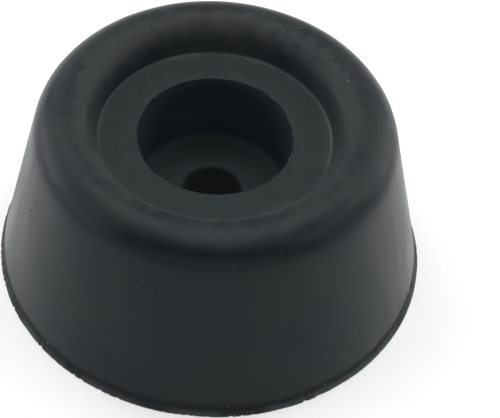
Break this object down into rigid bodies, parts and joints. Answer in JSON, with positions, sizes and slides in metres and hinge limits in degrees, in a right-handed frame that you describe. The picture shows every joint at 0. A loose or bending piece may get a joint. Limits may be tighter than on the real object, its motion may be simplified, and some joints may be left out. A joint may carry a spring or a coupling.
{
  "type": "rubber foot",
  "caption": "Round tapered rubber foot with a rounded crown, a deep pocket that sinks the screw head and a through hole for the screw.",
  "frame": {"origin": "centre of the flat base face, the wide face that is screwed against the furniture or case", "axes": "+Z along the foot's axis, from the base face towards the rounded crown; X and Y are any two square directions across it"},
  "size_m": [0.038, 0.038, 0.0175],
  "materials": {
    "black_rubber": "matte moulded black rubber with a faint sheen"
  },
  "bodies": {
    "root": {"rubber_foot": "black_rubber"}
  },
  "joints": []
}
